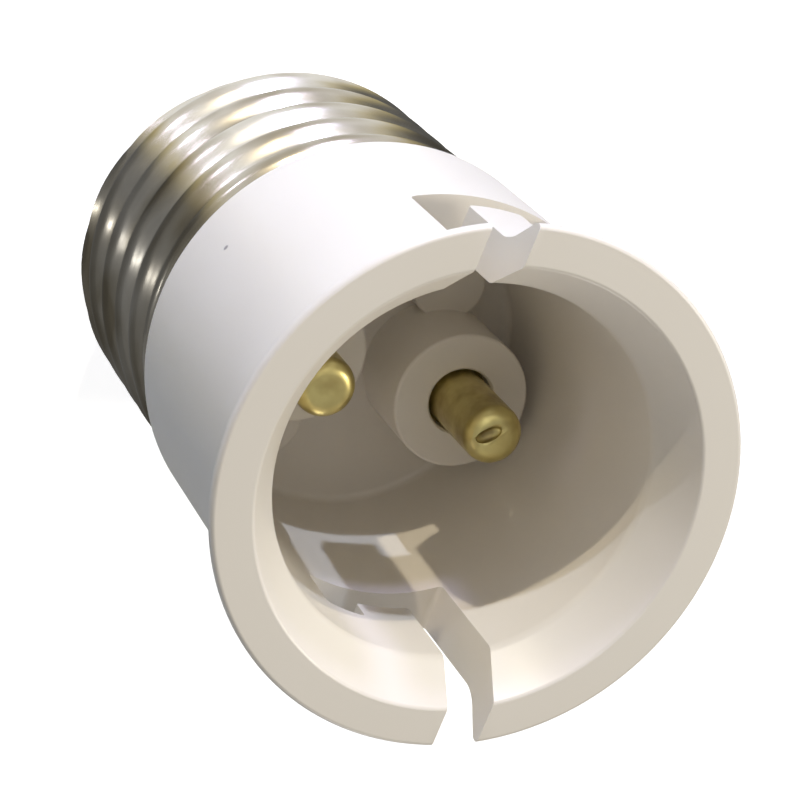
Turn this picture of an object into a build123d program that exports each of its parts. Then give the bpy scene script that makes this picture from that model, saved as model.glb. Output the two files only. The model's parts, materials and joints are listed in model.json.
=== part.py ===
from build123d import *
import os

# Lamp socket adapter: a bayonet lamp socket moulded on a screw cap.
# Millimetres, +Z out of the socket mouth, z = 0 at the tip of the centre contact.
# The two contact plungers lie on the X axis; the pin slots are cut through the +Y and -Y walls.

# lengths along the axis
CAP_LENGTH = 25.0  # contact tip to the rear edge of the body
BODY_LENGTH = 22.0  # rear edge of the body to the rim
SOCKET_DEPTH = 24.0  # rim to the socket floor
FLOOR_THICKNESS = 2.0

# socket body
RIM_OUTER_R = 15.5
RIM_INNER_R = 13.1
FLARE_DEPTH = 2.9
FLARE_BLEND_R = 1.6
BODY_R = 13.7
BORE_R = 11.2
BORE_STRAIGHT = 9.1  # straight stretch behind the lead-in, for the lamp cap
FLOOR_R = 10.7
RIM_LAND = 0.6  # short straight edge round the rim
RIM_EDGE = 0.25  # broken edge of the rim
REAR_EDGE = 0.35
NECK_WALL = 1.7

# bayonet pin slot: across the wall from the plungers' mid-plane, and down from the rim
ENTRY_LEFT = -5.8
LEG_WIDTH = 2.6
TONGUE_WIDTH = 3.3
HOOK_DEPTH = 6.4
TONGUE_DEPTH = 9.2
SLOT_DEPTH = 11.6
SLOT_ROUND = 0.3

# contact plungers
PLUNGER_OFFSET = 5.65  # from the socket's axis
PLUNGER_R = 1.6
PLUNGER_REACH = 4.5  # tip above the boss
PLUNGER_EDGE = 0.5  # tapered edge of the tip
COLLAR_R = 2.35
COLLAR_LENGTH = 1.2
TAIL_R = 1.2
TAIL_LENGTH = 1.8
TIP_SLOT = 1.5
TIP_SLOT_WIDTH = 0.5
TIP_SLOT_DEPTH = 0.25
TIP_SLOT_ANGLE = 36.0
BOSS_R = 4.0
BOSS_HEIGHT = 6.8
BOSS_LIP = 1.5
PLUNGER_GAP = 0.22  # round the plunger in its boss
COLLAR_GAP = 0.15  # round the collar in its chamber

# springs
WELL_DEPTH = 3.0  # in the rear insulator
SPRING_WIRE = 0.45
SPRING_GAP = 0.25  # between coils and chamber
SPRING_COILS = 3.5

# screw shell: rolled thread outside, plain inside
THREAD_PITCH = 3.629
THREAD_CREST_R = 13.2
THREAD_DEPTH = 1.1
THREAD_TURN = 170.0  # where the thread starts, round from the first plunger
SHELL_WALL = 0.35
SHELL_LENGTH = 20.7
SHELL_COLLAR_STEP = 0.35
SHELL_COLLAR_LENGTH = 0.7
SHELL_LIP = 1.0  # turned-in end
SHELL_LIP_INSET = 0.6
RUN_OUT = 1.0

# rear insulator, centre contact and brass links
PLUG_SHOULDER = 1.3
PLUG_NOSE_R = 6.2
PLUG_NOSE_Z = 1.8
RIVET_R = 4.7
RIVET_EDGE = 0.8
RIVET_CROWN_R = 1.6
SHANK_R = 1.5
SHANK_LENGTH = 3.8
STRIP = 0.4
STRIP_WIDTH = 2.0

# small clearances
SLIP = 0.05  # push fits and resting ends
ROOM = 0.1  # round the links

# worked out from the sizes above
rim_z = CAP_LENGTH + BODY_LENGTH
floor_z = rim_z - SOCKET_DEPTH
floor_under_z = floor_z - FLOOR_THICKNESS
boss_z = floor_z + BOSS_HEIGHT
stop_z = boss_z - BOSS_LIP
tip_z = boss_z + PLUNGER_REACH
collar_top_z = stop_z - SLIP
collar_z = collar_top_z - COLLAR_LENGTH
chamber_r = COLLAR_R + COLLAR_GAP
seat_z = floor_under_z - WELL_DEPTH
shell_end_z = CAP_LENGTH - SHELL_LENGTH
root_r = THREAD_CREST_R - THREAD_DEPTH
shell_inner_r = root_r - SHELL_WALL
neck_r = shell_inner_r - SLIP
neck_end_z = shell_end_z + SHELL_LIP + PLUG_SHOULDER
neck_bore_r = neck_r - NECK_WALL
plug_flange_r = shell_inner_r - SHELL_LIP_INSET - SLIP
shank_top_z = PLUG_NOSE_Z + SHANK_LENGTH
entry_right = ENTRY_LEFT + LEG_WIDTH
hook_left = entry_right + TONGUE_WIDTH
hook_right = hook_left + LEG_WIDTH


def turned(points, edges=(), blends=()):
    """Solid of revolution from (radius, z) points; edges and blends hold (point number, size) of corners
    that are broken by a chamfer or rounded by a fillet."""
    face = make_face(Polyline(*points, close=True))
    for ease, corners in ((chamfer, edges), (fillet, blends)):
        for number, size in corners:
            corner = face.vertices().sort_by_distance((*points[number], 0))[0]
            face = ease(corner, size)
    return revolve(Plane.XZ * face, Axis.Z)


def drum(radius, z_from, z_to, x=0.0):
    return Pos(x, 0, (z_from + z_to) / 2) * Cylinder(radius, z_to - z_from)


def block(x_from, x_to, width, z_from, z_to):
    """Box between two x and two z planes, with its width centred on the XZ plane."""
    return Pos((x_from + x_to) / 2, 0, (z_from + z_to) / 2) * Box(x_to - x_from, width, z_to - z_from)


def slot_cutter():
    """Entry leg, cross leg and hook of one pin slot, with walls along Y as its side core leaves them."""

    def leg(x_from, x_to, depth_from, depth_to):
        place = Pos((x_from + x_to) / 2, rim_z - (depth_from + depth_to) / 2)
        return place * RectangleRounded(x_to - x_from, depth_to - depth_from, SLOT_ROUND)

    outline = leg(ENTRY_LEFT, entry_right, -FLARE_DEPTH, SLOT_DEPTH)
    outline += leg(ENTRY_LEFT, hook_right, TONGUE_DEPTH, SLOT_DEPTH)
    outline += leg(hook_left, hook_right, HOOK_DEPTH, SLOT_DEPTH)
    return extrude(Plane.XZ * outline, amount=-(RIM_OUTER_R + 1))


def make_socket_body():
    flare_z = rim_z - FLARE_DEPTH
    straight_z = flare_z - BORE_STRAIGHT
    body = turned(
        [
            (0, floor_under_z),
            (neck_bore_r, floor_under_z),
            (neck_bore_r, neck_end_z),
            (neck_r, neck_end_z),
            (neck_r, CAP_LENGTH),
            (BODY_R, CAP_LENGTH),
            (BODY_R, flare_z),
            (RIM_OUTER_R, rim_z - RIM_LAND),
            (RIM_OUTER_R, rim_z),
            (RIM_INNER_R, rim_z),
            (BORE_R, flare_z),
            (BORE_R, straight_z),
            (FLOOR_R, floor_z),
            (0, floor_z),
        ],
        edges=[(5, REAR_EDGE), (8, RIM_EDGE)],
        blends=[(6, FLARE_BLEND_R)],
    )
    for x in (PLUNGER_OFFSET, -PLUNGER_OFFSET):
        body += drum(BOSS_R, floor_under_z, boss_z, x)
        body -= drum(PLUNGER_R + PLUNGER_GAP, stop_z - 1, boss_z + 1, x)
        body -= drum(chamber_r, floor_under_z - 1, stop_z, x)
    slot = slot_cutter()
    body -= slot
    body -= Rot(0, 0, 180) * slot
    # open side of the neck, where the link leaves for the screw shell
    notch = block(-neck_r - 1, -neck_bore_r / 2, STRIP_WIDTH + 2 * ROOM, neck_end_z - 1, seat_z + STRIP + ROOM)
    return body - notch


def make_screw_shell():
    lip_z = shell_end_z + SHELL_LIP
    collar_low_z = CAP_LENGTH - SHELL_COLLAR_LENGTH
    core = turned(
        [
            (shell_inner_r, CAP_LENGTH),
            (root_r + SHELL_COLLAR_STEP, CAP_LENGTH),
            (root_r + SHELL_COLLAR_STEP, collar_low_z),
            (root_r, collar_low_z - SHELL_WALL),
            (root_r, lip_z),
            (root_r - SHELL_LIP_INSET, shell_end_z),
            (shell_inner_r - SHELL_LIP_INSET, shell_end_z),
            (shell_inner_r, lip_z),
        ]
    )
    # one thread ridge with sloping flanks and a narrow crest, rooted inside the wall
    flank = [
        (root_r - SHELL_WALL / 2, THREAD_PITCH * 0.46),
        (root_r + THREAD_DEPTH / 2, THREAD_PITCH / 4),
        (THREAD_CREST_R, THREAD_PITCH * 0.09),
    ]
    mirrored = [(r, -z) for r, z in flank]
    ridge = Plane.XZ * make_face(Polyline(*mirrored, *reversed(flank), close=True))
    path = Helix(THREAD_PITCH, SHELL_LENGTH, root_r)
    coil = Pos(0, 0, shell_end_z) * Rot(0, 0, THREAD_TURN) * sweep(ridge, path=path, is_frenet=True)
    # the ridge runs out into the wall at both ends
    sunk_r = root_r - SHELL_WALL / 3
    outer_r = THREAD_CREST_R + ROOM
    band = turned(
        [
            (shell_inner_r, lip_z),
            (sunk_r, lip_z),
            (outer_r, lip_z + RUN_OUT),
            (outer_r, collar_low_z - SHELL_WALL - RUN_OUT),
            (sunk_r, collar_low_z - SHELL_WALL),
            (shell_inner_r, collar_low_z - SHELL_WALL),
        ]
    )
    return core + (coil & band)


def make_end_insulator():
    plug_r = neck_bore_r - SLIP
    shoulder_z = shell_end_z + SLIP
    plug = turned(
        [
            (0, PLUG_NOSE_Z),
            (PLUG_NOSE_R, PLUG_NOSE_Z),
            (plug_flange_r, shoulder_z),
            (plug_flange_r, neck_end_z),
            (plug_r, neck_end_z),
            (plug_r, floor_under_z),
            (0, floor_under_z),
        ]
    )
    channel = STRIP_WIDTH + 2 * ROOM
    top = floor_under_z + 1
    for x in (PLUNGER_OFFSET, -PLUNGER_OFFSET):
        plug -= drum(chamber_r, seat_z, top, x)
    plug -= block(-STRIP / 2 - ROOM, PLUNGER_OFFSET, channel, seat_z, top)
    plug -= block(-STRIP / 2 - ROOM, STRIP / 2 + ROOM, channel, shank_top_z, top)
    plug -= block(-neck_r, -PLUNGER_OFFSET, channel, seat_z, top)
    return plug - drum(SHANK_R + SLIP / 2, PLUG_NOSE_Z - 1, shank_top_z)


def make_centre_contact():
    """Brass rivet: a low crowned head on the insulator's nose and a shank up to the centre link."""
    return turned(
        [
            (0, 0),
            (RIVET_CROWN_R, 0),
            (RIVET_R - RIVET_EDGE, (PLUG_NOSE_Z - RIVET_EDGE) * 0.6),
            (RIVET_R, PLUG_NOSE_Z - RIVET_EDGE),
            (RIVET_R, PLUG_NOSE_Z),
            (SHANK_R, PLUG_NOSE_Z),
            (SHANK_R, shank_top_z),
            (0, shank_top_z),
        ]
    )


def make_centre_strip():
    pad = drum(chamber_r - ROOM, seat_z, seat_z + STRIP, PLUNGER_OFFSET)
    run = block(-STRIP / 2, PLUNGER_OFFSET, STRIP_WIDTH, seat_z, seat_z + STRIP)
    drop = block(-STRIP / 2, STRIP / 2, STRIP_WIDTH, shank_top_z, seat_z + STRIP)
    return pad + run + drop


def make_shell_strip():
    reach = -((shell_inner_r**2 - (STRIP_WIDTH / 2) ** 2) ** 0.5) + SLIP / 2
    pad = drum(chamber_r - ROOM, seat_z, seat_z + STRIP, -PLUNGER_OFFSET)
    run = block(reach, -PLUNGER_OFFSET, STRIP_WIDTH, seat_z, seat_z + STRIP)
    drop = block(reach, reach + STRIP, STRIP_WIDTH, neck_end_z, seat_z + STRIP)
    return pad + run + drop


def make_plunger(x):
    pin = turned(
        [
            (0, collar_z - TAIL_LENGTH),
            (TAIL_R, collar_z - TAIL_LENGTH),
            (TAIL_R, collar_z),
            (COLLAR_R, collar_z),
            (COLLAR_R, collar_top_z),
            (PLUNGER_R, collar_top_z),
            (PLUNGER_R, tip_z),
            (0, tip_z),
        ],
        edges=[(6, PLUNGER_EDGE)],
    )
    mark = extrude(Pos(0, 0, tip_z - TIP_SLOT_DEPTH) * SlotOverall(TIP_SLOT, TIP_SLOT_WIDTH), amount=1)
    return Pos(x, 0, 0) * (pin - Rot(0, 0, TIP_SLOT_ANGLE) * mark)


def make_spring(x):
    """Coil of four-sided wire, set on edge, between the link's pad and the plunger's collar."""
    low = seat_z + STRIP + SLIP
    rise = collar_z - SLIP - low - SPRING_WIRE
    coil_r = chamber_r - SPRING_GAP - SPRING_WIRE / 2
    wire = Plane.XZ * (Pos(coil_r, 0) * RegularPolygon(SPRING_WIRE / 2, 4))
    coil = sweep(wire, path=Helix(rise / SPRING_COILS, rise, coil_r), is_frenet=True)
    return Pos(x, 0, low + SPRING_WIRE / 2) * coil


nodes = {
    "socket_body": make_socket_body(),
    "screw_shell": make_screw_shell(),
    "end_insulator": make_end_insulator(),
    "centre_contact": make_centre_contact(),
    "centre_strip": make_centre_strip(),
    "shell_strip": make_shell_strip(),
    "plunger_a": make_plunger(PLUNGER_OFFSET),
    "plunger_b": make_plunger(-PLUNGER_OFFSET),
    "spring_a": make_spring(PLUNGER_OFFSET),
    "spring_b": make_spring(-PLUNGER_OFFSET),
}

os.makedirs("parts", exist_ok=True)
for name, shape in nodes.items():
    export_step(shape, "parts/" + name + ".step")
    print(name, len(shape.solids()), round(shape.volume, 1))
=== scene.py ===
import json
import math

import bmesh
import bpy
from bpy.props import FloatProperty, FloatVectorProperty, IntProperty, PointerProperty
from mathutils import Matrix, Vector


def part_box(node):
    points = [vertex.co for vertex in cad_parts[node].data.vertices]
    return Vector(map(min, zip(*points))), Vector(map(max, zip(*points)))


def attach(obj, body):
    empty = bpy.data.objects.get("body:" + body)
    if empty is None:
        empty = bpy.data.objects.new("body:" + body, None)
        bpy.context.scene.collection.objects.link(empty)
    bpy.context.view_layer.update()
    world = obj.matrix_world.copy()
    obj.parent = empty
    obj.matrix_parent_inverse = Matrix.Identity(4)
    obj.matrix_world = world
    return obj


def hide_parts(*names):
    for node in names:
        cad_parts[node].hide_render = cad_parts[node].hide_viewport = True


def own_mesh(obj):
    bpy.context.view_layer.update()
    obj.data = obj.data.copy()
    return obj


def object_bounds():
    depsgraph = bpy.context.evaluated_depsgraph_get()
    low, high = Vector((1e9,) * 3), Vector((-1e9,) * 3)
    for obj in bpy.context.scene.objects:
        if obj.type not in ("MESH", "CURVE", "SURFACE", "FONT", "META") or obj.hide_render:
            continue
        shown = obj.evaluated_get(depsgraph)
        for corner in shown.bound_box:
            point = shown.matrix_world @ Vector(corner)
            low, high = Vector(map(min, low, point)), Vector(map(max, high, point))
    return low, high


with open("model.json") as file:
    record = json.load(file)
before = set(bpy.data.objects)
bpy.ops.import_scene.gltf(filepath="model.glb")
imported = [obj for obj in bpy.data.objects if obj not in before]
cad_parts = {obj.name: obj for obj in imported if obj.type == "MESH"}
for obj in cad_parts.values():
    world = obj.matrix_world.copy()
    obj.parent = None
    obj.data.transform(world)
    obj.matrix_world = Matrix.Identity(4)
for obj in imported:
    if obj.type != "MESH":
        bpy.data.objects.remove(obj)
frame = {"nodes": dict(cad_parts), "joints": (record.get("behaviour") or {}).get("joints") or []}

bl_info = {
    "name": "Lamp Socket Adapter",
    "version": (1, 0, 0),
    "blender": (4, 5, 0),
    "location": "View3D > Sidebar > Adapter",
    "description": "Models and finishes a bayonet socket on a screw cap around its packed frame",
    "category": "Object",
}

MM = 0.001
CAD_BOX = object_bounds()

# distances, in metres, below which points are one
SAME_POINT = 1e-7
SAME_THREAD_POINT = 2e-6
SLIVER = 1e-6
NO_LENGTH = 1e-8

# how far a cutting tool reaches past what it cuts
SPARE = 3 * MM

CORNER_STEPS = 5
SMALL_ROUND_STEPS = 72
PAD_STEPS = 60
COIL_STEPS = 40
WIRE_SIDES = 10
SMOOTH_ANGLE = 32
SHELL_SMOOTH_ANGLE = 40
WIRE_SMOOTH_ANGLE = 60

# turns of thread that are trimmed off, and how many of them lie below the shell
SPARE_TURNS = 3
START_BELOW = 2.5

# shares of the lip's height, and the collar band's step
LIP_SHARES = (0.45, 0.8, 1.0)
STEP_SHARE = 0.6
STEP_Z = 0.1 * MM
BAND_Z = 0.22 * MM

# middle range of the noise that the finishes use
NOISE_SPAN = (0.2, 0.8)

# shares of a fleck's radius between which it fades
FLECK_EDGE = (0.6, 1.1)

# what reflections see: levels on the dark and on the bright side, and overhead
FLOOR_MIRROR = (0.125, 1.0)
SKY_MIRROR = (0.18, 0.9)
OVERHEAD_MIRROR = 0.3
OVERHEAD_SPAN = (0.5, 0.85)
LIT_SPAN = (0.64, 0.88)
LIT_EDGE_AT = 0.55

FLOOR_RADIUS = 3.0
FLOOR_DROP = 0.2 * MM

# places read from the frame
BODY_LOW, BODY_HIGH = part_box("socket_body")
SHELL_LOW, SHELL_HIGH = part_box("screw_shell")
PLUNGER_LOW, PLUNGER_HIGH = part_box("plunger_a")
SPRING_LOW, SPRING_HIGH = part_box("spring_a")
RIM_Z = BODY_HIGH[2]
NECK_END_Z = BODY_LOW[2]
BODY_REAR_Z = SHELL_HIGH[2]
PLUNGER_X = (PLUNGER_LOW[0] + PLUNGER_HIGH[0]) / 2


def length(name, description, millimetres):
    return FloatProperty(
        name=name,
        description=description,
        default=millimetres * MM,
        precision=5,
        unit="LENGTH",
    )


def angle(name, description, degrees):
    return FloatProperty(
        name=name,
        description=description,
        default=math.radians(degrees),
        subtype="ANGLE",
    )


def count(name, description, number, least):
    return IntProperty(name=name, description=description, default=number, min=least)


def colour(name, description, red, green, blue):
    return FloatVectorProperty(
        name=name,
        description=description,
        default=(red, green, blue),
        size=3,
        min=0,
        max=1,
        subtype="COLOR",
    )


def point(name, description, x, y, z):
    return FloatVectorProperty(
        name=name,
        description=description,
        default=(x, y, z),
        size=3,
        subtype="XYZ",
    )


class SocketSizes(bpy.types.PropertyGroup):
    """Sizes of the moulded body that its frame's box doesn't give."""

    rim_inner: length("Rim inner radius", "Inner edge of the flat rim face", 13.1)
    rim_land: length("Rim land", "Straight outer edge of the rim", 0.6)
    rim_round: length("Rim rounding", "Rounded edges of the rim", 0.28)
    flare_depth: length("Flare depth", "Depth of the flare and of the lead-in", 2.9)
    flare_blend: length("Flare blend", "Soft run of the flare into the body", 0.9)
    body_radius: length("Body radius", "Outside of the body behind the flare", 13.7)
    bore_radius: length("Bore radius", "Inside of the socket", 11.2)
    bore_straight: length("Straight bore", "Straight stretch behind the lead-in", 9.1)
    floor_radius: length("Floor radius", "Inside of the drafted wall at the floor", 10.7)
    floor_depth: length("Socket depth", "Floor below the rim", 24.0)
    floor_thickness: length("Floor thickness", "Thickness of the floor", 2.0)
    neck_radius: length("Neck radius", "Outside of the neck in the shell", 11.7)
    neck_wall: length("Neck wall", "Wall of the neck", 1.7)
    rear_round: length("Rear rounding", "Rear edge of the body", 0.3)
    land_round: length("Land rounding", "Flare into the rim's outer edge", 0.15)
    inner_round: length("Inner rounding", "Inner edge of the rim face", 0.16)
    lead_round: length("Lead-in rounding", "Lead-in into the bore", 0.35)
    floor_round: length("Floor rounding", "Wall into the floor", 0.5)
    edge: length("Hole edge", "Edge of the plunger holes", 0.12)
    segments: count("Segments", "Faces round the body", 168, 24)


class SlotSizes(bpy.types.PropertyGroup):
    """One pin slot, across from the plungers' mid-plane and down from the rim."""

    entry_left: length("Entry", "Far wall of the entry leg", -5.8)
    leg_width: length("Leg width", "Width of the entry leg and the hook", 2.6)
    tongue_width: length("Tongue", "Width of the tongue between the legs", 3.3)
    hook_depth: length("Hook depth", "Front end of the hook", 7.4)
    tongue_depth: length("Tongue depth", "Tip of the tongue", 9.2)
    depth: length("Slot depth", "Rear wall of the slot", 11.2)
    corner: length("Corner", "Rounded corners of the slot", 0.3)


class PlungerSizes(bpy.types.PropertyGroup):
    """Contact plungers, their bosses and their springs."""

    radius: length("Plunger radius", "Contact pin", 1.85)
    dome: length("Tip rounding", "Rounded edge of the tip", 0.9)
    collar_radius: length("Collar radius", "Collar under the boss lip", 2.55)
    collar: length("Collar length", "Length of the collar", 1.2)
    tail_radius: length("Tail radius", "Spring guide behind the collar", 1.3)
    tail: length("Tail length", "Length of the spring guide", 1.8)
    mark: length("Tip mark", "Length of the struck mark on the tip", 1.7)
    mark_width: length("Tip mark width", "Width of the struck mark", 0.9)
    mark_depth: length("Tip mark depth", "Depth of the struck mark", 0.38)
    mark_shift: point("Tip mark shift", "Mark off the middle of the tip", -0.00055, 0.00008, 0)
    mark_turn: angle("Tip mark turn", "Direction of the mark", 38)
    edge: length("Plunger edge", "Rounded steps of the plunger", 0.06)
    tail_round: length("Tail rounding", "End of the spring guide", 0.2)
    reach: length("Reach", "Tip above the boss", 6.1)
    seat_gap: length("Seat gap", "Room between the collar and its stop or spring", 0.05)
    boss_radius: length("Boss radius", "Moulded boss round each plunger", 4.35)
    boss_height: length("Boss height", "Boss above the floor", 6.1)
    boss_lip: length("Boss lip", "Lip that stops the collar", 1.5)
    boss_round: length("Boss rounding", "Outer edge of the boss face", 0.2)
    pad_radius: length("Pad radius", "Round pad beside each boss", 2.37)
    pad_height: length("Pad height", "Pad above the floor", 1.6)
    pad_round: length("Pad rounding", "Edge of the pad", 0.15)
    pad_x: length("Pad across", "Pad from the axis, towards its boss", 4.1)
    pad_y: length("Pad along", "Pad from the axis, towards its pin slot", 5.8)
    hole_gap: length("Hole gap", "Room round the plunger", 0.22)
    chamber_gap: length("Chamber gap", "Room round the collar", 0.15)
    wire: length("Spring wire", "Diameter of the spring wire", 0.45)
    coils: count("Coils", "Coils of each spring", 5, 2)


class ShellSizes(bpy.types.PropertyGroup):
    """Rolled screw shell."""

    pitch: length("Pitch", "Rise of the thread in one turn", 3.629)
    depth: length("Thread depth", "Crest to root", 1.1)
    wall: length("Sheet", "Thickness of the rolled sheet", 0.3)
    collar: length("Collar", "Plain band against the body", 1.2)
    collar_step: length("Collar step", "Band above the thread root", 0.35)
    rear_reach: length("Rear reach", "Lip past the end of the frame's shell", 0.3)
    lip: length("Lip", "Turned-in end", 0.6)
    lip_inset: length("Lip inset", "How far the end turns in", 0.6)
    run_out: length("Run-out", "Length over which the thread fades at the end", 0.5)
    run_in: length("Run-in", "Length over which the thread fades at the body", 1.1)
    phase: angle("Thread start", "Where the thread starts", 170)
    around: count("Steps", "Steps in one turn", 120, 24)
    along: count("Profile", "Points along one pitch", 16, 6)


class Finish(bpy.types.PropertyGroup):
    """Colours of the finishes."""

    plastic: colour("Plastic", "Moulded white plastic", 0.86, 0.815, 0.745)
    plastic_shade: colour("Plastic mottle", "Faint deeper tone in the plastic", 0.84, 0.79, 0.715)
    nickel: colour("Nickel", "Plated shell", 0.70, 0.67, 0.60)
    nickel_stain: colour("Nickel stain", "Yellowed and handled plating", 0.34, 0.30, 0.22)
    brass: colour("Brass", "Turned contacts", 0.62, 0.53, 0.22)
    brass_dull: colour("Dull brass", "Tarnish on the contacts", 0.40, 0.31, 0.12)
    steel: colour("Spring steel", "Drawn spring wire", 0.56, 0.55, 0.53)
    steel_dull: colour("Dull steel", "Drawing marks on the wire", 0.46, 0.45, 0.43)
    speck: colour("Speck", "Dark fleck on the moulding", 0.34, 0.31, 0.30)
    speck_place: point("Speck place", "Where the fleck sits", -0.0127, 0.00514, 0.02987)
    speck_size: length("Speck size", "Radius of the fleck", 0.2)
    # Painted shade in the struck tip: tone and radius of a dark spot in the dent, standing in for
    # the shade there
    mark_painted_shade: colour("Tip mark", "Painted shade in the struck tip", 0.27, 0.21, 0.09)
    mark_size: length("Tip mark size", "Radius of the grime in the mark", 0.6)


def lamp_place(x, y, z):
    return point("Place", "Direction of the lamp from the object", x, y, z)


def lamp_size(millimetres):
    return length("Size", "Width of the lamp", millimetres)


def lamp_power(watts):
    return FloatProperty(
        name="Power", description="Power of the lamp", default=watts, min=0, unit="POWER"
    )


def lamp_tone(red, green, blue):
    return colour("Tone", "Colour of the light", red, green, blue)


class KeyLamp(bpy.types.PropertyGroup):
    """Small, high lamp that throws the slot's shape into the socket."""

    place: lamp_place(-0.15, 0.98, 0.368)
    size: lamp_size(12.0)
    power: lamp_power(1.35)
    tone: lamp_tone(0.74, 0.82, 1.0)


class MainLamp(bpy.types.PropertyGroup):
    """Warm lamp beside the key, which shines through the entry leg."""

    place: lamp_place(-0.40, 0.90, 0.34)
    size: lamp_size(10.0)
    power: lamp_power(1.3)
    tone: lamp_tone(1.0, 0.89, 0.68)


class SideLamp(bpy.types.PropertyGroup):
    """Weak lamp on the camera's side."""

    place: lamp_place(-0.78, 0.63, 0.12)
    size: lamp_size(60.0)
    power: lamp_power(0.16)
    tone: lamp_tone(0.76, 0.72, 1.0)


class WarmLamp(bpy.types.PropertyGroup):
    """Wide, warm lamp across from the camera, too low to reach the socket's floor."""

    place: lamp_place(0.74, 0.25, 0.62)
    size: lamp_size(160.0)
    power: lamp_power(1.55)
    tone: lamp_tone(1.0, 0.94, 0.80)


class BackLamp(bpy.types.PropertyGroup):
    """Cool lamp level with the rim, which whitens the outside and leaves the bore dark."""

    place: lamp_place(-0.17, 0.985, 0.05)
    size: lamp_size(60.0)
    power: lamp_power(1.15)
    tone: lamp_tone(0.60, 0.61, 1.0)


class LowLamp(bpy.types.PropertyGroup):
    """Wide, low fill on the camera's other side, which reaches the lead-in but not the bore."""

    place: lamp_place(0.35, -0.92, 0.17)
    size: lamp_size(160.0)
    power: lamp_power(0.65)
    tone: lamp_tone(1.0, 0.96, 0.92)


class GlintLamp(bpy.types.PropertyGroup):
    """Tiny lamp that glints on the flanks of the thread."""

    place: lamp_place(-0.957, -0.203, 0.208)
    size: lamp_size(8.0)
    power: lamp_power(0.035)
    tone: lamp_tone(1.0, 0.98, 0.95)


class StageSetting(bpy.types.PropertyGroup):
    """Camera, lamps and floor."""

    lens: FloatProperty(name="Lens", description="Focal length", default=121.5, unit="CAMERA")
    distance: length("Camera distance", "Camera to the aim point", 150.0)
    azimuth: angle("Azimuth", "Side that the camera looks from", -119.0)
    elevation: angle("Elevation", "Camera above the horizon", 60.844)
    roll: angle("Roll", "Turn of the picture", 138.297)
    aim: point("Aim", "Point in the middle of the picture", -0.00429, 0.00237, 0.0415)
    lamp_distance: length("Lamp distance", "Lamps to the object", 600.0)
    key: PointerProperty(type=KeyLamp)
    main: PointerProperty(type=MainLamp)
    side: PointerProperty(type=SideLamp)
    warm: PointerProperty(type=WarmLamp)
    back: PointerProperty(type=BackLamp)
    low: PointerProperty(type=LowLamp)
    glint: PointerProperty(type=GlintLamp)
    lit_turn: angle("Lit side", "Middle of the studio's bright side", 112)
    lit_edge: colour("Lit edge", "Edge of the bright side in reflections", 0.62, 0.54, 0.30)
    floor: colour("Floor", "Pale floor", 0.70, 0.82, 1.0)
    floor_lift: FloatProperty(
        name="Floor lift",
        description="Added to the floor that the camera sees",
        default=0.75,
        min=0,
    )
    floor_seen: colour("Floor seen", "Floor as the camera sees it", 0.80, 0.80, 0.80)
    sky: colour("Sky", "Even light from all round", 0.199, 0.194, 0.186)


def settings(group):
    return getattr(bpy.context.scene, "adapter_" + group)


# mesh helpers


def finished_object(name, bm):
    """A linked object at the origin whose mesh is the bmesh."""
    bmesh.ops.remove_doubles(bm, verts=bm.verts, dist=SAME_POINT)
    bare = [edge for edge in bm.edges if not edge.link_faces]
    bmesh.ops.delete(bm, geom=bare, context="EDGES")
    bmesh.ops.recalc_face_normals(bm, faces=bm.faces)
    mesh = bpy.data.meshes.new(name)
    bm.to_mesh(mesh)
    bm.free()
    piece = bpy.data.objects.new(name, mesh)
    bpy.context.scene.collection.objects.link(piece)
    return piece


def outline(bm, points, rounds=()):
    """A closed loop of edges through (x, z) points; rounds holds (point number, run)."""
    corners = [bm.verts.new((x, 0, z)) for x, z in points]
    for one, two in zip(corners, corners[1:] + corners[:1]):
        bm.edges.new((one, two))
    for number, run in rounds:
        bmesh.ops.bevel(
            bm,
            geom=[corners[number]],
            offset=run,
            offset_type="OFFSET",
            segments=CORNER_STEPS,
            profile=0.5,
            affect="VERTICES",
            material=-1,
            clamp_overlap=True,
        )


def turned(name, points, rounds=(), *, segments, place=(0, 0, 0)):
    """Closed solid of revolution about Z from (radius, z) points."""
    bm = bmesh.new()
    outline(bm, points, rounds)
    bmesh.ops.spin(
        bm,
        geom=bm.verts[:] + bm.edges[:],
        cent=(0, 0, 0),
        axis=(0, 0, 1),
        angle=math.tau,
        steps=segments,
        use_merge=True,
    )
    bmesh.ops.dissolve_degenerate(bm, edges=bm.edges, dist=NO_LENGTH)
    bmesh.ops.translate(bm, vec=place, verts=bm.verts)
    return finished_object(name, bm)


def carve(piece, tools, operation):
    """Booleans of the piece with tools, which are then removed."""
    for tool in tools:
        cut = piece.modifiers.new("cut", "BOOLEAN")
        cut.operation = operation
        cut.solver = "EXACT"
        cut.object = tool
        settle(piece)
        bpy.data.objects.remove(tool)
        clean(piece)


def clean(piece):
    """Closes up the slivers that a boolean leaves."""
    bm = bmesh.new()
    bm.from_mesh(piece.data)
    bmesh.ops.remove_doubles(bm, verts=bm.verts, dist=SLIVER)
    bmesh.ops.dissolve_degenerate(bm, edges=bm.edges, dist=SLIVER)
    bm.to_mesh(piece.data)
    bm.free()


def settle(piece):
    """Turns the piece's modifiers into its mesh."""
    bpy.context.view_layer.update()
    shaped = piece.evaluated_get(bpy.context.evaluated_depsgraph_get())
    mesh = bpy.data.meshes.new_from_object(shaped)
    piece.modifiers.clear()
    piece.data = mesh
    mesh.name = piece.name


def soft_edges(piece, width, segments=2, angle=50):
    """Small rounded edges, then smooth shading that keeps the large faces flat."""
    edge = piece.modifiers.new("edges", "BEVEL")
    edge.width = width
    edge.segments = segments
    edge.limit_method = "ANGLE"
    edge.angle_limit = math.radians(angle)
    edge.use_clamp_overlap = True
    settle(piece)
    smooth(piece)


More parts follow.
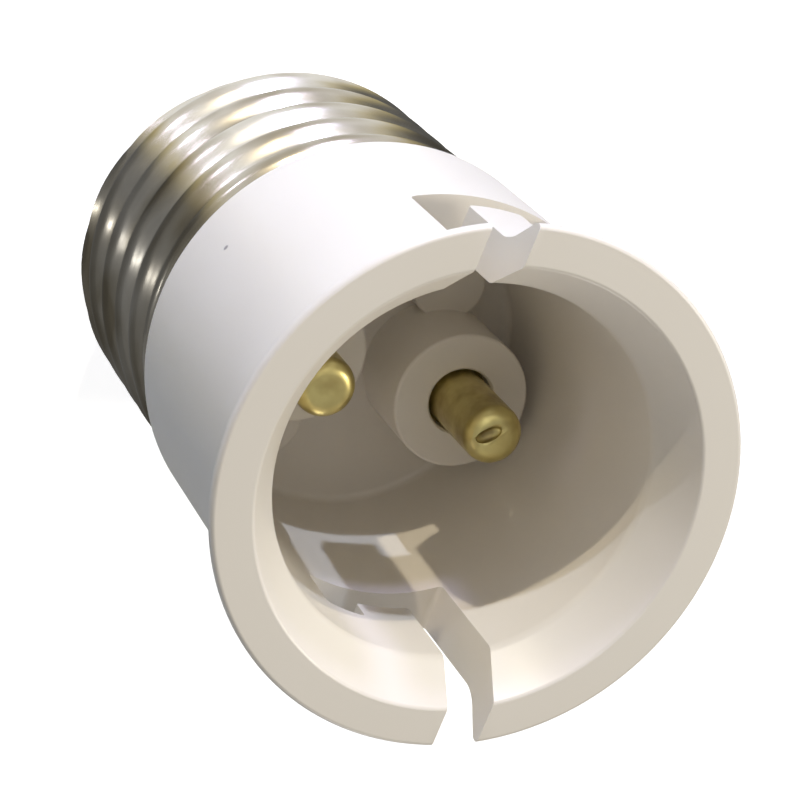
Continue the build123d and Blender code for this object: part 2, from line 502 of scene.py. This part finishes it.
def smooth(piece, angle=SMOOTH_ANGLE):
    piece.data.polygons.foreach_set("use_smooth", [True] * len(piece.data.polygons))
    piece.data.set_sharp_from_angle(angle=math.radians(angle))
    even = piece.modifiers.new("normals", "WEIGHTED_NORMAL")
    even.keep_sharp = True
    settle(piece)


def dress(piece, material, slot, body, *nodes):
    """Finish of a new piece, the body that it moves with and the nodes that it stands for."""
    piece.data.materials.clear()
    piece.data.materials.append(material)
    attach(piece, body)
    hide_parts(*nodes)


# finishes


def value_group(name, sockets):
    """An empty shader node group; sockets holds (name, in or out, socket type, default)."""
    group = bpy.data.node_groups.new(name, "ShaderNodeTree")
    for title, side, kind, default in sockets:
        socket = group.interface.new_socket(title, in_out=side, socket_type=kind)
        if default is not None:
            socket.default_value = default
    source = group.nodes.new("NodeGroupInput")
    target = group.nodes.new("NodeGroupOutput")
    return group, source.outputs, target.inputs


def mottle_group():
    """Soft two-scale patches and a fine grain, on Object coordinates."""
    found = bpy.data.node_groups.get("Adapter mottle")
    if found:
        return found
    group, given, made = value_group(
        "Adapter mottle",
        [
            ("Scale", "INPUT", "NodeSocketFloat", 300.0),
            ("Grain scale", "INPUT", "NodeSocketFloat", 3000.0),
            ("Stretch", "INPUT", "NodeSocketVector", (1, 1, 1)),
            ("Patches", "OUTPUT", "NodeSocketFloat", None),
            ("Grain", "OUTPUT", "NodeSocketFloat", None),
        ],
    )
    nodes, links = group.nodes, group.links
    place = nodes.new("ShaderNodeTexCoord")
    drawn = nodes.new("ShaderNodeVectorMath")
    drawn.operation = "MULTIPLY"
    links.new(place.outputs["Object"], drawn.inputs[0])
    links.new(given["Stretch"], drawn.inputs[1])
    for scale, out, detail in (("Scale", "Patches", 2.0), ("Grain scale", "Grain", 1.0)):
        noise = nodes.new("ShaderNodeTexNoise")
        noise.inputs["Detail"].default_value = detail
        links.new(drawn.outputs["Vector"], noise.inputs["Vector"])
        links.new(given[scale], noise.inputs["Scale"])
        links.new(noise.outputs["Fac"], made[out])
    return group


def new_material(name):
    """Material, its node tools and its Principled shader."""
    material = bpy.data.materials.new(name)
    material.use_nodes = True
    tree = material.node_tree
    return material, tree.nodes, tree.links, tree.nodes["Principled BSDF"]


def spread(nodes, links, value, low, high, shade_from, shade_to):
    """A range of the value spread between two numbers."""
    node = nodes.new("ShaderNodeMapRange")
    node.inputs["From Min"].default_value = shade_from
    node.inputs["From Max"].default_value = shade_to
    node.inputs["To Min"].default_value = low
    node.inputs["To Max"].default_value = high
    links.new(value, node.inputs["Value"])
    return node.outputs["Result"]


def blended(nodes, links, factor, one, two):
    """Colour between two colours or colour sockets."""
    node = nodes.new("ShaderNodeMix")
    node.data_type = "RGBA"
    links.new(factor, node.inputs["Factor"])
    for socket, tone in (("A", one), ("B", two)):
        target = [item for item in node.inputs if item.name == socket and item.type == "RGBA"][0]
        if hasattr(tone, "is_linked"):
            links.new(tone, target)
        else:
            target.default_value = (*tone, 1)
    return [item for item in node.outputs if item.type == "RGBA"][0]


def bump(nodes, links, shader, height, strength, depth):
    node = nodes.new("ShaderNodeBump")
    node.inputs["Strength"].default_value = strength
    node.inputs["Distance"].default_value = depth
    links.new(height, node.inputs["Height"])
    links.new(node.outputs["Normal"], shader.inputs["Normal"])


def place_mottle(nodes, scale, grain, stretch=(1, 1, 1)):
    node = nodes.new("ShaderNodeGroup")
    node.node_tree = mottle_group()
    node.inputs["Scale"].default_value = scale
    node.inputs["Grain scale"].default_value = grain
    node.inputs["Stretch"].default_value = stretch
    return node.outputs["Patches"], node.outputs["Grain"]


def fleck(nodes, links, base, centre, size, tone):
    """Base colour with a small dark fleck at a point of the object."""
    place = nodes.new("ShaderNodeTexCoord")
    away = nodes.new("ShaderNodeVectorMath")
    away.operation = "DISTANCE"
    away.inputs[1].default_value = centre
    links.new(place.outputs["Object"], away.inputs[0])
    inner, outer = (share * size for share in FLECK_EDGE)
    inside = spread(nodes, links, away.outputs["Value"], 1, 0, inner, outer)
    return blended(nodes, links, inside, base, tone)


def vary_roughness(nodes, links, shader, grain, low, high):
    links.new(spread(nodes, links, grain, low, high, *NOISE_SPAN), shader.inputs["Roughness"])


def plastic_material(name, rough, flecked=False):
    """Moulded white plastic with a faint mottle and a fine orange-peel gloss."""
    finish = settings("finish")
    material, nodes, links, shader = new_material(name)
    patches, grain = place_mottle(nodes, scale=90, grain=420)
    tone = spread(nodes, links, patches, 0, 1, *NOISE_SPAN)
    base = blended(nodes, links, tone, finish.plastic, finish.plastic_shade)
    if flecked:
        base = fleck(nodes, links, base, finish.speck_place, finish.speck_size, finish.speck)
    links.new(base, shader.inputs["Base Color"])
    vary_roughness(nodes, links, shader, grain, low=rough - 0.02, high=rough + 0.02)
    shader.inputs["IOR"].default_value = 1.5
    bump(nodes, links, shader, grain, strength=0.02, depth=0.03 * MM)
    return material


def metal_material(name, tone, dull, rough, scale, stain, stretch=(1, 1, 1), mark=None):
    """Bare or plated metal with fine wear, dull over the stain's range of the noise; where a mark
    is given, painted shade darkens the dent of the struck mark.
    """
    material, nodes, links, shader = new_material(name)
    shader.inputs["Metallic"].default_value = 1
    patches, grain = place_mottle(nodes, scale, grain=scale * 4, stretch=stretch)
    base = blended(nodes, links, spread(nodes, links, patches, 0, 1, *stain), tone, dull)
    # painted shade: a dark spot in the dent of the struck mark
    if mark:
        finish = settings("finish")
        base = fleck(nodes, links, base, mark, finish.mark_size, finish.mark_painted_shade)
    links.new(base, shader.inputs["Base Color"])
    vary_roughness(nodes, links, shader, grain, low=rough - 0.04, high=rough + 0.06)
    bump(nodes, links, shader, grain, strength=0.03, depth=0.02 * MM)
    return material


# pieces


def slot_tool(turn):
    """Prism of one pin slot, turned about the axis."""
    sizes = settings("slots")
    entry_right = sizes.entry_left + sizes.leg_width
    hook_left = entry_right + sizes.tongue_width
    hook_right = hook_left + sizes.leg_width
    above = RIM_Z + SPARE
    tongue_z = RIM_Z - sizes.tongue_depth
    hook_z = RIM_Z - sizes.hook_depth
    rear_z = RIM_Z - sizes.depth
    points = [
        (sizes.entry_left, above),
        (entry_right, above),
        (entry_right, tongue_z),
        (hook_left, tongue_z),
        (hook_left, hook_z),
        (hook_right, hook_z),
        (hook_right, rear_z),
        (sizes.entry_left, rear_z),
    ]
    bm = bmesh.new()
    outline(bm, points, [(number, sizes.corner) for number in range(2, 8)])
    face = bmesh.ops.edgeloop_fill(bm, edges=bm.edges[:])["faces"]
    near = settings("socket").bore_radius / 2
    far = BODY_HIGH[0] + SPARE
    bmesh.ops.translate(bm, vec=(0, near, 0), verts=bm.verts)
    pulled = bmesh.ops.extrude_face_region(bm, geom=face)["geom"]
    moved = [item for item in pulled if isinstance(item, bmesh.types.BMVert)]
    bmesh.ops.translate(bm, vec=(0, far - near, 0), verts=moved)
    bmesh.ops.rotate(bm, cent=(0, 0, 0), matrix=Matrix.Rotation(turn, 3, "Z"), verts=bm.verts)
    return finished_object("slot_tool", bm)


def plunger_levels():
    """Heights of a boss, its collar stop, and the plunger's collar and tip."""
    pins = settings("plungers")
    boss_z = RIM_Z - settings("socket").floor_depth + pins.boss_height
    stop_z = boss_z - pins.boss_lip
    collar_z = stop_z - pins.seat_gap - pins.collar
    return boss_z, stop_z, collar_z, boss_z + pins.reach


def socket_piece():
    """Flared body with bore, floor, bosses, pin slots and hollow neck."""
    sizes, pins = settings("socket"), settings("plungers")
    flare_z = RIM_Z - sizes.flare_depth
    straight_z = flare_z - sizes.bore_straight
    floor_z = RIM_Z - sizes.floor_depth
    under_z = floor_z - sizes.floor_thickness
    neck_bore = sizes.neck_radius - sizes.neck_wall
    rim_radius = BODY_HIGH[0]
    body = turned(
        "socket",
        [
            (0, under_z),
            (neck_bore, under_z),
            (neck_bore, NECK_END_Z),
            (sizes.neck_radius, NECK_END_Z),
            (sizes.neck_radius, BODY_REAR_Z),
            (sizes.body_radius, BODY_REAR_Z),
            (sizes.body_radius, flare_z),
            (rim_radius, RIM_Z - sizes.rim_land),
            (rim_radius, RIM_Z),
            (sizes.rim_inner, RIM_Z),
            (sizes.bore_radius, flare_z),
            (sizes.bore_radius, straight_z),
            (sizes.floor_radius, floor_z),
            (0, floor_z),
        ],
        [
            (5, sizes.rear_round),
            (6, sizes.flare_blend),
            (7, sizes.land_round),
            (8, sizes.rim_round),
            (9, sizes.inner_round),
            (10, sizes.lead_round),
            (12, sizes.floor_round),
        ],
        segments=sizes.segments,
    )
    boss_z, stop_z = plunger_levels()[:2]
    hole = pins.radius + pins.hole_gap
    chamber = pins.collar_radius + pins.chamber_gap
    inside_z = floor_z - sizes.floor_thickness / 2
    for x in (PLUNGER_X, -PLUNGER_X):
        boss = turned(
            "boss",
            [(0, inside_z), (pins.boss_radius, inside_z), (pins.boss_radius, boss_z), (0, boss_z)],
            [(2, pins.boss_round)],
            segments=SMALL_ROUND_STEPS,
            place=(x, 0, 0),
        )
        carve(body, [boss], "UNION")
    for x in (PLUNGER_X, -PLUNGER_X):
        well = turned(
            "well",
            [
                (0, under_z - MM),
                (chamber, under_z - MM),
                (chamber, stop_z),
                (hole, stop_z),
                (hole, boss_z - sizes.edge),
                (hole + sizes.edge + MM, boss_z + MM),
                (0, boss_z + MM),
            ],
            segments=SMALL_ROUND_STEPS,
            place=(x, 0, 0),
        )
        carve(body, [well], "DIFFERENCE")
    for side in (1, -1):
        pad = turned(
            "pad",
            [
                (0, inside_z),
                (pins.pad_radius, inside_z),
                (pins.pad_radius, floor_z + pins.pad_height),
                (0, floor_z + pins.pad_height),
            ],
            [(2, pins.pad_round)],
            segments=PAD_STEPS,
            place=(side * pins.pad_x, side * pins.pad_y, 0),
        )
        carve(body, [pad], "UNION")
    carve(body, [slot_tool(0), slot_tool(math.pi)], "DIFFERENCE")
    smooth(body)
    return body


def thread_profile(sizes, crest):
    """Points (radius, z) along one pitch of the rolled thread."""
    middle = crest - sizes.depth / 2
    for number in range(sizes.along + 1):
        share = number / sizes.along
        yield middle - sizes.depth / 2 * math.cos(math.tau * share), sizes.pitch * share


def ease(share):
    share = min(max(share, 0.0), 1.0)
    return share * share * (3 - 2 * share)


def widened(bm, ring, radius, z):
    """Extrudes a ring of edges to a circle of that radius and height; gives the new ring."""
    grown = bmesh.ops.extrude_edge_only(bm, edges=ring)["geom"]
    for vert in (item for item in grown if isinstance(item, bmesh.types.BMVert)):
        reach = Vector((vert.co.x, vert.co.y)).normalized() * radius
        vert.co = (reach.x, reach.y, z)
    return [item for item in grown if isinstance(item, bmesh.types.BMEdge)]


def shell_piece():
    """Rolled thread that runs out to a plain band and a turned-in lip."""
    sizes = settings("shell")
    crest = SHELL_HIGH[0]
    root = crest - sizes.depth
    low = SHELL_LOW[2] - sizes.rear_reach + sizes.lip
    high = SHELL_HIGH[2] - sizes.collar
    turns = math.ceil((high - low) / sizes.pitch) + SPARE_TURNS
    bm = bmesh.new()
    column = [bm.verts.new((radius, 0, z)) for radius, z in thread_profile(sizes, crest)]
    for one, two in zip(column, column[1:]):
        bm.edges.new((one, two))
    start = Matrix.Rotation(sizes.phase, 3, "Z")
    bmesh.ops.rotate(bm, cent=(0, 0, 0), matrix=start, verts=bm.verts)
    start_z = SHELL_LOW[2] - START_BELOW * sizes.pitch
    bmesh.ops.translate(bm, vec=(0, 0, start_z), verts=bm.verts)
    bmesh.ops.spin(
        bm,
        geom=bm.verts[:] + bm.edges[:],
        cent=(0, 0, 0),
        axis=(0, 0, 1),
        dvec=(0, 0, sizes.pitch / sizes.around),
        angle=math.tau * turns,
        steps=sizes.around * turns,
    )
    bmesh.ops.remove_doubles(bm, verts=bm.verts, dist=SAME_THREAD_POINT)
    for z, normal in ((low, -1), (high, 1)):
        bmesh.ops.bisect_plane(
            bm,
            geom=bm.verts[:] + bm.edges[:] + bm.faces[:],
            plane_co=(0, 0, z),
            plane_no=(0, 0, normal),
            clear_outer=True,
        )
    for vert in bm.verts:
        kept = ease((vert.co.z - low) / sizes.run_out) * ease((high - vert.co.z) / sizes.run_in)
        flat = Vector((vert.co.x, vert.co.y))
        flat = flat.normalized() * (root + (flat.length - root) * kept)
        vert.co = (flat.x, flat.y, vert.co.z)
    ends = [edge for edge in bm.edges if edge.is_boundary]
    bottom = [edge for edge in ends if edge.verts[0].co.z < (low + high) / 2]
    top = [edge for edge in ends if edge.verts[0].co.z > (low + high) / 2]
    for share in LIP_SHARES:
        turn_in = 1 - math.sqrt(1 - share * share)
        bottom = widened(bm, bottom, root - sizes.lip_inset * turn_in, low - sizes.lip * share)
    band = root + sizes.collar_step
    step = root + sizes.collar_step * STEP_SHARE
    for radius, z in ((step, high + STEP_Z), (band, high + BAND_Z), (band, SHELL_HIGH[2])):
        top = widened(bm, top, radius, z)
    shell = finished_object("screw_shell_rolled", bm)
    sheet = shell.modifiers.new("sheet", "SOLIDIFY")
    sheet.thickness = sizes.wall
    sheet.offset = -1
    settle(shell)
    smooth(shell, SHELL_SMOOTH_ANGLE)
    return shell


def plunger_piece(name, x, mark_middle):
    """Turned contact with rounded tip, collar and spring guide; struck where a mark is given."""
    sizes = settings("plungers")
    collar_z, tip_z = plunger_levels()[2:]
    tail_z = collar_z - sizes.tail
    pin = turned(
        name,
        [
            (0, tail_z),
            (sizes.tail_radius, tail_z),
            (sizes.tail_radius, collar_z),
            (sizes.collar_radius, collar_z),
            (sizes.collar_radius, collar_z + sizes.collar),
            (sizes.radius, collar_z + sizes.collar),
            (sizes.radius, tip_z),
            (0, tip_z),
        ],
        [(1, sizes.tail_round), (6, sizes.dome)],
        segments=SMALL_ROUND_STEPS,
        place=(x, 0, 0),
    )
    soft_edges(pin, sizes.edge)
    if mark_middle:
        bm = bmesh.new()
        bmesh.ops.create_uvsphere(bm, u_segments=32, v_segments=16, radius=1)
        mark = finished_object("mark", bm)
        mark.data.transform(
            Matrix.Translation(mark_middle)
            @ Matrix.Rotation(sizes.mark_turn, 4, "Z")
            @ Matrix.Diagonal((sizes.mark / 2, sizes.mark_width / 2, sizes.mark_depth, 1))
        )
        carve(pin, [mark], "DIFFERENCE")
        smooth(pin)
    return pin


def spring_height():
    return plunger_levels()[2] - settings("plungers").seat_gap - SPRING_LOW[2]


def spring_piece(name, x):
    """Round wire wound between the link's pad and the collar."""
    sizes = settings("plungers")
    radius = sizes.wire / 2
    coil = (SPRING_HIGH[0] - SPRING_LOW[0]) / 2 - radius
    rise = spring_height() - sizes.wire
    steps = COIL_STEPS * sizes.coils
    bm = bmesh.new()
    bmesh.ops.create_circle(bm, cap_ends=False, segments=WIRE_SIDES, radius=radius)
    upright = Matrix.Rotation(math.pi / 2, 3, "X")
    bmesh.ops.rotate(bm, cent=(0, 0, 0), matrix=upright, verts=bm.verts)
    bmesh.ops.translate(bm, vec=(coil, 0, SPRING_LOW[2] + radius), verts=bm.verts)
    bmesh.ops.spin(
        bm,
        geom=bm.verts[:] + bm.edges[:],
        cent=(0, 0, 0),
        axis=(0, 0, 1),
        dvec=(0, 0, rise / steps),
        angle=math.tau * sizes.coils,
        steps=steps,
    )
    bmesh.ops.holes_fill(bm, edges=[edge for edge in bm.edges if edge.is_boundary], sides=0)
    bmesh.ops.translate(bm, vec=(x, 0, 0), verts=bm.verts)
    spring = finished_object(name, bm)
    smooth(spring, WIRE_SMOOTH_ANGLE)
    return spring


class ADAPTER_OT_socket(bpy.types.Operator):
    """Model the moulded socket body"""

    bl_idname = "adapter.socket"
    bl_label = "Socket body"

    def execute(self, context):
        plastic = plastic_material("White moulding", rough=0.36, flecked=True)
        dress(socket_piece(), plastic, "body_plastic", "housing", "socket_body")
        return {"FINISHED"}


class ADAPTER_OT_shell(bpy.types.Operator):
    """Model the rolled screw shell"""

    bl_idname = "adapter.shell"
    bl_label = "Screw shell"

    def execute(self, context):
        finish = settings("finish")
        nickel = metal_material(
            "Nickel plate",
            finish.nickel,
            finish.nickel_stain,
            rough=0.20,
            scale=150,
            stain=(0.42, 0.68),
            stretch=(1, 1, 3),
        )
        dress(shell_piece(), nickel, "nickel_shell", "housing", "screw_shell")
        return {"FINISHED"}


class ADAPTER_OT_plungers(bpy.types.Operator):
    """Model the two contact plungers"""

    bl_idname = "adapter.plungers"
    bl_label = "Plungers"

    def execute(self, context):
        finish = settings("finish")
        sizes = settings("plungers")
        struck = Vector((PLUNGER_X, 0, plunger_levels()[3])) + Vector(sizes.mark_shift)
        marks = (("plunger_a", PLUNGER_X, struck), ("plunger_b", -PLUNGER_X, None))
        for node, x, mark in marks:
            # centre of the painted shade, half the mark's depth below the tip
            painted_shade = mark - Vector((0, 0, sizes.mark_depth / 2)) if mark else None
            brass = metal_material(
                "Turned brass " + node,
                finish.brass,
                finish.brass_dull,
                rough=0.34,
                scale=700,
                stain=(0.40, 0.75),
                mark=painted_shade,
            )
            dress(plunger_piece(node + "_turned", x, mark), brass, "contact_brass", node, node)
        return {"FINISHED"}


class ADAPTER_OT_springs(bpy.types.Operator):
    """Wind the two plunger springs"""

    bl_idname = "adapter.springs"
    bl_label = "Springs"

    def execute(self, context):
        finish = settings("finish")
        steel = metal_material(
            "Spring wire",
            finish.steel,
            finish.steel_dull,
            rough=0.30,
            scale=900,
            stain=(0.4, 0.8),
        )
        height = spring_height()
        places = (("spring_a", PLUNGER_X), ("spring_b", -PLUNGER_X))
        for (node, x), joint in zip(places, frame["joints"]):
            spring = spring_piece(node + "_wound", x)
            dress(spring, steel, "spring_steel", "housing", node)
            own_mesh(spring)
        return {"FINISHED"}


class ADAPTER_OT_links(bpy.types.Operator):
    """Finish the rear insulator, the centre contact and the brass links"""

    bl_idname = "adapter.links"
    bl_label = "Insulator and links"

    def execute(self, context):
        finish = settings("finish")
        brass = metal_material(
            "Pressed brass",
            finish.brass,
            finish.brass_dull,
            rough=0.30,
            scale=500,
            stain=(0.45, 0.8),
        )
        insulator = plastic_material("Insulator moulding", rough=0.42)
        for node, material in (
            ("end_insulator", insulator),
            ("centre_contact", brass),
            ("centre_strip", brass),
            ("shell_strip", brass),
        ):
            frame["nodes"][node].material_slots[0].material = material
        return {"FINISHED"}


def area_lamp(name, lamp):
    """Round lamp that shines at the object's middle."""
    light = bpy.data.lights.new(name, "AREA")
    light.shape = "DISK"
    light.size = lamp.size
    light.energy = lamp.power
    light.color = lamp.tone
    holder = bpy.data.objects.new(name, light)
    bpy.context.scene.collection.objects.link(holder)
    towards = Vector(lamp.place).normalized()
    centre = (Vector(CAD_BOX[0]) + Vector(CAD_BOX[1])) / 2
    holder.location = centre + towards * settings("stage").lamp_distance
    holder.rotation_mode = "QUATERNION"
    holder.rotation_quaternion = towards.to_track_quat("Z", "Y")


def lit_side_group():
    """How far a direction lies on the lamps' side of the studio, from 0 to 1."""
    group, given, made = value_group(
        "Adapter lit side",
        [
            ("Direction", "INPUT", "NodeSocketVector", None),
            ("Lit", "OUTPUT", "NodeSocketFloat", None),
        ],
    )
    nodes, links = group.nodes, group.links
    flat = nodes.new("ShaderNodeVectorMath")
    flat.operation = "MULTIPLY"
    flat.inputs[1].default_value = (1, 1, 0)
    links.new(given["Direction"], flat.inputs[0])
    unit = nodes.new("ShaderNodeVectorMath")
    unit.operation = "NORMALIZE"
    links.new(flat.outputs["Vector"], unit.inputs[0])
    facing = nodes.new("ShaderNodeVectorMath")
    facing.operation = "DOT_PRODUCT"
    turn = settings("stage").lit_turn
    facing.inputs[1].default_value = (math.cos(turn), math.sin(turn), 0)
    links.new(unit.outputs["Vector"], facing.inputs[0])
    edge = nodes.new("ShaderNodeMapRange")
    edge.interpolation_type = "SMOOTHSTEP"
    edge.inputs["From Min"].default_value = LIT_SPAN[0]
    edge.inputs["From Max"].default_value = LIT_SPAN[1]
    links.new(facing.outputs["Value"], edge.inputs["Value"])
    links.new(edge.outputs["Result"], made["Lit"])
    return group


def reflected(nodes, links, group, dark, bright):
    """What reflections show: bright on the lamps' side, yellow at its edge, dark elsewhere."""
    place = nodes.new("ShaderNodeTexCoord")
    side = nodes.new("ShaderNodeGroup")
    side.node_tree = group
    links.new(place.outputs["Object"], side.inputs["Direction"])
    ramp = nodes.new("ShaderNodeValToRGB")
    ramp.color_ramp.elements[0].color = (dark, dark, dark, 1)
    ramp.color_ramp.elements[1].color = (bright, bright, bright, 1)
    edge = ramp.color_ramp.elements.new(LIT_EDGE_AT)
    edge.color = (*settings("stage").lit_edge, 1)
    links.new(side.outputs["Lit"], ramp.inputs["Fac"])
    return ramp.outputs["Color"]


def floor_piece(group):
    """Wide pale floor that shows white to the camera and keeps the shadow."""
    stage = settings("stage")
    bm = bmesh.new()
    bmesh.ops.create_circle(bm, cap_ends=True, segments=64, radius=FLOOR_RADIUS)
    bmesh.ops.translate(bm, vec=(0, 0, CAD_BOX[0][2] - FLOOR_DROP), verts=bm.verts)
    floor = finished_object("floor", bm)
    material, nodes, links, shader = new_material("Pale floor")
    shader.inputs["Roughness"].default_value = 1
    shader.inputs["Specular IOR Level"].default_value = 0
    path = nodes.new("ShaderNodeLightPath")
    mirrored = path.outputs["Is Glossy Ray"]
    pale = blended(nodes, links, path.outputs["Is Camera Ray"], stage.floor, stage.floor_seen)
    links.new(blended(nodes, links, mirrored, pale, (0, 0, 0)), shader.inputs["Base Color"])
    lift = [stage.floor_lift] * 3
    seen = blended(nodes, links, path.outputs["Is Camera Ray"], (0, 0, 0), lift)
    # painted reflection: for glossy rays the floor glows with the studio's bright side, though it
    # is no lamp
    studio = reflected(nodes, links, group, *FLOOR_MIRROR)
    glow = blended(nodes, links, mirrored, seen, studio)
    shader.inputs["Emission Strength"].default_value = 1
    links.new(glow, shader.inputs["Emission Color"])
    floor.data.materials.append(material)


def sky(group):
    """Even light; white to the camera, and brighter on the lamps' side in reflections."""
    stage = settings("stage")
    world = bpy.data.worlds.new("Studio")
    world.use_nodes = True
    nodes, links = world.node_tree.nodes, world.node_tree.links
    background = nodes["Background"]
    path = nodes.new("ShaderNodeLightPath")
    lighting = blended(nodes, links, path.outputs["Is Diffuse Ray"], (1, 1, 1), stage.sky)
    around = reflected(nodes, links, group, *SKY_MIRROR)
    place = nodes.new("ShaderNodeTexCoord")
    parts = nodes.new("ShaderNodeSeparateXYZ")
    links.new(place.outputs["Object"], parts.inputs["Vector"])
    overhead = nodes.new("ShaderNodeVectorMath")
    overhead.operation = "ADD"
    links.new(around, overhead.inputs[0])
    height = parts.outputs["Z"]
    added = spread(nodes, links, height, 0, OVERHEAD_MIRROR, *OVERHEAD_SPAN)
    links.new(added, overhead.inputs[1])
    mirrored = overhead.outputs["Vector"]
    shown = blended(nodes, links, path.outputs["Is Glossy Ray"], lighting, mirrored)
    links.new(shown, background.inputs["Color"])
    background.inputs["Strength"].default_value = 1
    bpy.context.scene.world = world


class ADAPTER_OT_stage(bpy.types.Operator):
    """Set the floor, the lamps, the sky and the camera"""

    bl_idname = "adapter.stage"
    bl_label = "Stage"

    def execute(self, context):
        stage = settings("stage")
        context.scene.view_settings.view_transform = "Standard"
        group = lit_side_group()
        floor_piece(group)
        sky(group)
        for name in ("key", "main", "side", "warm", "back", "low", "glint"):
            area_lamp(name, getattr(stage, name))
        camera = bpy.data.cameras.new("camera")
        camera.lens = stage.lens
        holder = bpy.data.objects.new("camera", camera)
        context.scene.collection.objects.link(holder)
        level = math.cos(stage.elevation)
        back = Vector(
            (
                math.sin(stage.azimuth) * level,
                -math.cos(stage.azimuth) * level,
                math.sin(stage.elevation),
            )
        )
        right = Vector((0, 0, 1)).cross(back).normalized()
        upright = Matrix((right, back.cross(right), back)).transposed()
        view = (upright @ Matrix.Rotation(stage.roll, 3, "Z")).to_4x4()
        eye = Vector(stage.aim) + back * stage.distance
        holder.matrix_world = Matrix.Translation(eye) @ view
        camera.clip_start = MM
        context.scene.camera = holder
        return {"FINISHED"}


class ADAPTER_PT_panel(bpy.types.Panel):
    """Steps that build the adapter"""

    bl_idname = "ADAPTER_PT_panel"
    bl_label = "Lamp Socket Adapter"
    bl_space_type = "VIEW_3D"
    bl_region_type = "UI"
    bl_category = "Adapter"

    def draw(self, context):
        for step in STEPS:
            self.layout.operator(step.bl_idname)


GROUPS = {
    "socket": SocketSizes,
    "slots": SlotSizes,
    "plungers": PlungerSizes,
    "shell": ShellSizes,
    "finish": Finish,
    "stage": StageSetting,
}
STEPS = (
    ADAPTER_OT_socket,
    ADAPTER_OT_shell,
    ADAPTER_OT_plungers,
    ADAPTER_OT_springs,
    ADAPTER_OT_links,
    ADAPTER_OT_stage,
)
LAMPS = (KeyLamp, MainLamp, SideLamp, WarmLamp, BackLamp, LowLamp, GlintLamp)
CLASSES = (*LAMPS, *GROUPS.values(), *STEPS, ADAPTER_PT_panel)


def register():
    for item in CLASSES:
        bpy.utils.register_class(item)
    for name, group in GROUPS.items():
        setattr(bpy.types.Scene, "adapter_" + name, PointerProperty(type=group))


def unregister():
    for name in GROUPS:
        delattr(bpy.types.Scene, "adapter_" + name)
    for item in reversed(CLASSES):
        bpy.utils.unregister_class(item)


def main():
    register()
    bpy.ops.adapter.socket()
    bpy.ops.adapter.shell()
    bpy.ops.adapter.plungers()
    bpy.ops.adapter.springs()
    bpy.ops.adapter.links()
    bpy.ops.adapter.stage()
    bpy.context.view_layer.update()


if __name__ == "__main__":
    main()
